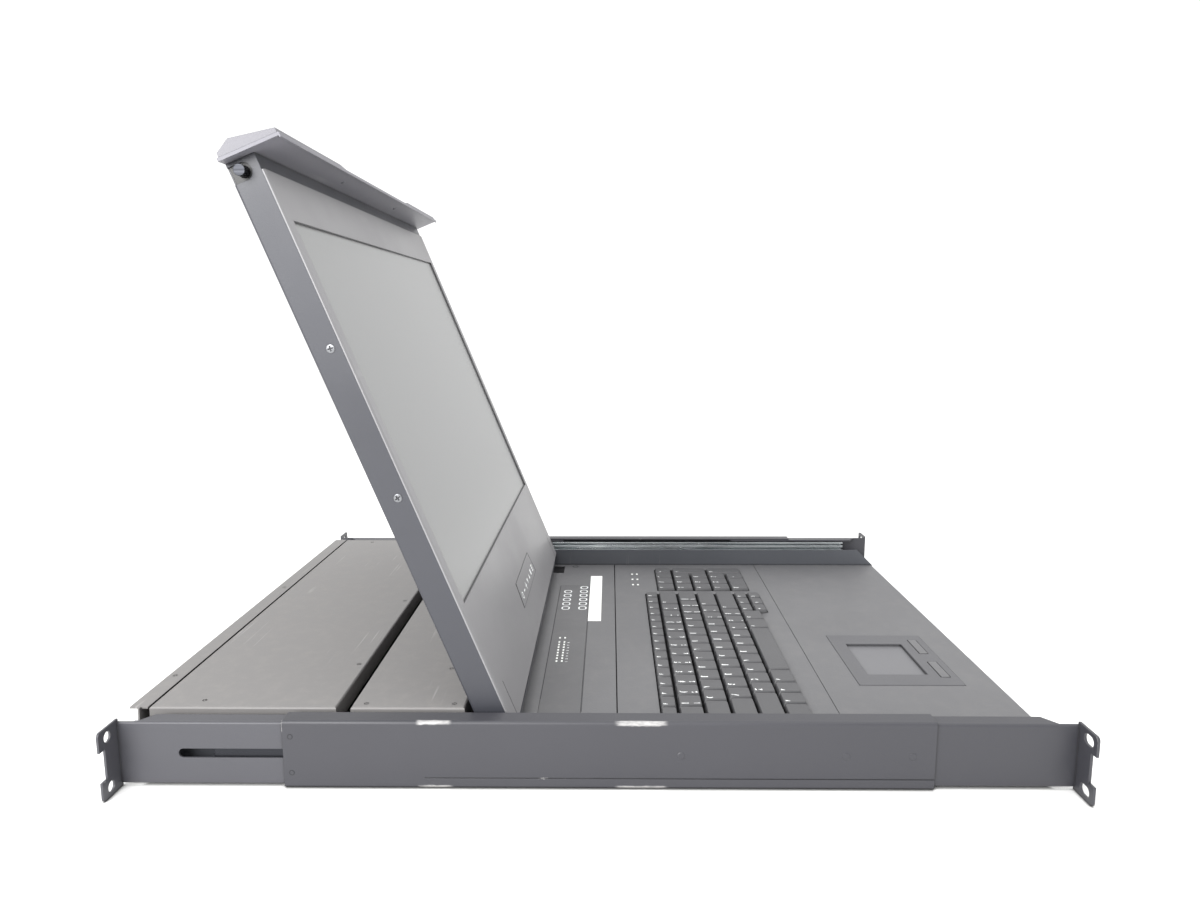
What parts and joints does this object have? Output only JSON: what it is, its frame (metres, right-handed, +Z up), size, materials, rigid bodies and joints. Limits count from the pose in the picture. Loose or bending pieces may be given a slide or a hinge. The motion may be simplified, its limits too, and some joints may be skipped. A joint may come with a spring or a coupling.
{
  "type": "rackmount console drawer",
  "caption": "Sliding 1U rack console drawer with a fold-up flat screen, a keyboard with touchpad, and a port switch behind it, on ball-bearing slides.",
  "frame": {"origin": "centre of the underside, at the middle of the drawer's width and depth, with the drawer pushed home and the lid open", "axes": "+X to the user's right, +Y to the rear of the rack, +Z up"},
  "size_m": [0.4826, 0.592, 0.3898],
  "materials": {
    "rail_paint": "satin dark grey coat",
    "bracket_paint": "satin grey coat",
    "zinc_steel": "zinc plated",
    "ball_steel": "polished",
    "case_paint": "fine textured light grey coat",
    "tray_paint": "satin dark grey coat",
    "deck_plastic": "fine grained grey",
    "key_plastic": "fine grained dark grey",
    "bed_plastic": "matte black",
    "overlay_film": "printed film",
    "light_lens": "translucent",
    "label_paper": "blank white",
    "touch_plastic": "smooth",
    "lid_paint": "satin grey coat",
    "bezel_paint": "satin light grey coat",
    "screen_glass": "anti-glare film",
    "handle_paint": "satin grey coat",
    "handle_grip": "fine grained light grey",
    "board_green": "solder mask",
    "supply_steel": "plain steel",
    "connector_steel": "nickel plated",
    "inlet_plastic": "black"
  },
  "bodies": {
    "rack_rails": {"left_outer_rail": "rail_paint", "right_outer_rail": "rail_paint", "left_front_bracket": "rail_paint", "right_front_bracket": "rail_paint", "slide_studs": "zinc_steel", "left_slide_track": "zinc_steel", "right_slide_track": "zinc_steel"},
    "left_rear_mount": {"left_rear_bracket": "bracket_paint"},
    "right_rear_mount": {"right_rear_bracket": "bracket_paint"},
    "outer_cages": {"left_outer_ball_cage": "ball_steel", "right_outer_ball_cage": "ball_steel"},
    "slide_middles": {"left_slide_middle": "zinc_steel", "right_slide_middle": "zinc_steel"},
    "inner_cages": {"left_inner_ball_cage": "ball_steel", "right_inner_ball_cage": "ball_steel"},
    "drawer": {"drawer_tray": "tray_paint", "left_slide_runner": "zinc_steel", "right_slide_runner": "zinc_steel", "hinge_brackets": "tray_paint", "electronics_cover": "case_paint", "cable_cover": "case_paint", "rear_panel": "case_paint", "video_connectors": "connector_steel", "power_inlet": "inlet_plastic", "switch_frame": "inlet_plastic", "switch_board": "board_green", "power_supply": "supply_steel", "palm_rest": "deck_plastic", "keyboard_frame": "deck_plastic", "control_panel": "deck_plastic", "touchpad_surface": "touch_plastic", "control_overlay": "overlay_film", "indicator_lights": "light_lens", "blank_label": "label_paper", "key_bed": "bed_plastic"},
    "rocker": {"power_rocker": "inlet_plastic"},
    "pad_left_button": {"touchpad_left_button": "deck_plastic"},
    "pad_right_button": {"touchpad_right_button": "deck_plastic"},
    "lid": {"lid_shell": "lid_paint", "hinge_pins": "zinc_steel", "screen_bezel": "bezel_paint", "lcd_panel": "screen_glass", "display_board": "board_green", "menu_strip": "overlay_film", "handle_plate": "handle_paint", "handle_grips": "handle_grip", "latch_housings": "inlet_plastic"},
    "left_latch": {"left_latch_pin": "zinc_steel"},
    "right_latch": {"right_latch_pin": "zinc_steel"},
    "function_row": {"function_keys": "key_plastic"},
    "number_row": {"number_keys": "key_plastic"},
    "upper_letter_row": {"upper_letter_keys": "key_plastic"},
    "home_letter_row": {"home_letter_keys": "key_plastic"},
    "lower_letter_row": {"lower_letter_keys": "key_plastic"},
    "modifier_row": {"modifier_keys": "key_plastic"},
    "space_key": {"space_bar": "key_plastic"},
    "arrow_row": {"arrow_keys": "key_plastic"},
    "number_pad_row": {"number_pad_keys": "key_plastic"}
  },
  "joints": [
    {"name": "left_rear_mount_slide", "type": "slide", "parent": "rack_rails", "child": "left_rear_mount", "axis": [0, 1, 0], "range_m": [-0.075, 0.06]},
    {"name": "right_rear_mount_slide", "type": "slide", "parent": "rack_rails", "child": "right_rear_mount", "axis": [0, 1, 0], "range_m": [-0.075, 0.06]},
    {"name": "drawer_slide", "type": "slide", "parent": "rack_rails", "child": "drawer", "axis": [0, -1, 0], "range_m": [0, 0.4]},
    {"name": "middle_slide", "type": "slide", "parent": "rack_rails", "child": "slide_middles", "axis": [0, -1, 0], "range_m": [0, 0.2]},
    {"name": "outer_cage_slide", "type": "slide", "parent": "rack_rails", "child": "outer_cages", "axis": [0, -1, 0], "range_m": [0, 0.1]},
    {"name": "inner_cage_slide", "type": "slide", "parent": "rack_rails", "child": "inner_cages", "axis": [0, -1, 0], "range_m": [0, 0.3]},
    {"name": "lid_hinge", "type": "hinge", "parent": "drawer", "child": "lid", "pos_m": [0, 0.0632, 0.03], "axis": [1, 0, 0], "range_deg": [-4, 112]},
    {"name": "left_latch_slide", "type": "slide", "parent": "lid", "child": "left_latch", "axis": [1, 0, 0], "range_m": [0, 0.005], "stiffness_N_per_m": 600, "springref_m": -0.003},
    {"name": "right_latch_slide", "type": "slide", "parent": "lid", "child": "right_latch", "axis": [-1, 0, 0], "range_m": [0, 0.005], "stiffness_N_per_m": 600, "springref_m": -0.003},
    {"name": "power_rocker_tilt", "type": "hinge", "parent": "drawer", "child": "rocker", "pos_m": [0.142, 0.2855, 0.02175], "axis": [1, 0, 0], "range_deg": [-20, 0]},
    {"name": "left_button_press", "type": "slide", "parent": "drawer", "child": "pad_left_button", "axis": [0, 0, -1], "range_m": [0, 0.0005], "stiffness_N_per_m": 700, "springref_m": -0.0005},
    {"name": "right_button_press", "type": "slide", "parent": "drawer", "child": "pad_right_button", "axis": [0, 0, -1], "range_m": [0, 0.0005], "stiffness_N_per_m": 700, "springref_m": -0.0005},
    {"name": "function_row_press", "type": "slide", "parent": "drawer", "child": "function_row", "axis": [0, 0, -1], "range_m": [0, 0.0025], "stiffness_N_per_m": 220, "springref_m": -0.003},
    {"name": "number_row_press", "type": "slide", "parent": "drawer", "child": "number_row", "axis": [0, 0, -1], "range_m": [0, 0.0025], "stiffness_N_per_m": 220, "springref_m": -0.003},
    {"name": "upper_letter_row_press", "type": "slide", "parent": "drawer", "child": "upper_letter_row", "axis": [0, 0, -1], "range_m": [0, 0.0025], "stiffness_N_per_m": 220, "springref_m": -0.003},
    {"name": "home_letter_row_press", "type": "slide", "parent": "drawer", "child": "home_letter_row", "axis": [0, 0, -1], "range_m": [0, 0.0025], "stiffness_N_per_m": 220, "springref_m": -0.003},
    {"name": "lower_letter_row_press", "type": "slide", "parent": "drawer", "child": "lower_letter_row", "axis": [0, 0, -1], "range_m": [0, 0.0025], "stiffness_N_per_m": 220, "springref_m": -0.003},
    {"name": "modifier_row_press", "type": "slide", "parent": "drawer", "child": "modifier_row", "axis": [0, 0, -1], "range_m": [0, 0.0025], "stiffness_N_per_m": 220, "springref_m": -0.003},
    {"name": "space_key_press", "type": "slide", "parent": "drawer", "child": "space_key", "axis": [0, 0, -1], "range_m": [0, 0.0025], "stiffness_N_per_m": 220, "springref_m": -0.003},
    {"name": "arrow_row_press", "type": "slide", "parent": "drawer", "child": "arrow_row", "axis": [0, 0, -1], "range_m": [0, 0.0025], "stiffness_N_per_m": 220, "springref_m": -0.003},
    {"name": "number_pad_row_press", "type": "slide", "parent": "drawer", "child": "number_pad_row", "axis": [0, 0, -1], "range_m": [0, 0.0025], "stiffness_N_per_m": 220, "springref_m": -0.003}
  ],
  "couplings": [
    {"joint": "middle_slide", "follows": "drawer_slide", "ratio": 0.5},
    {"joint": "outer_cage_slide", "follows": "drawer_slide", "ratio": 0.25},
    {"joint": "inner_cage_slide", "follows": "drawer_slide", "ratio": 0.75}
  ]
}
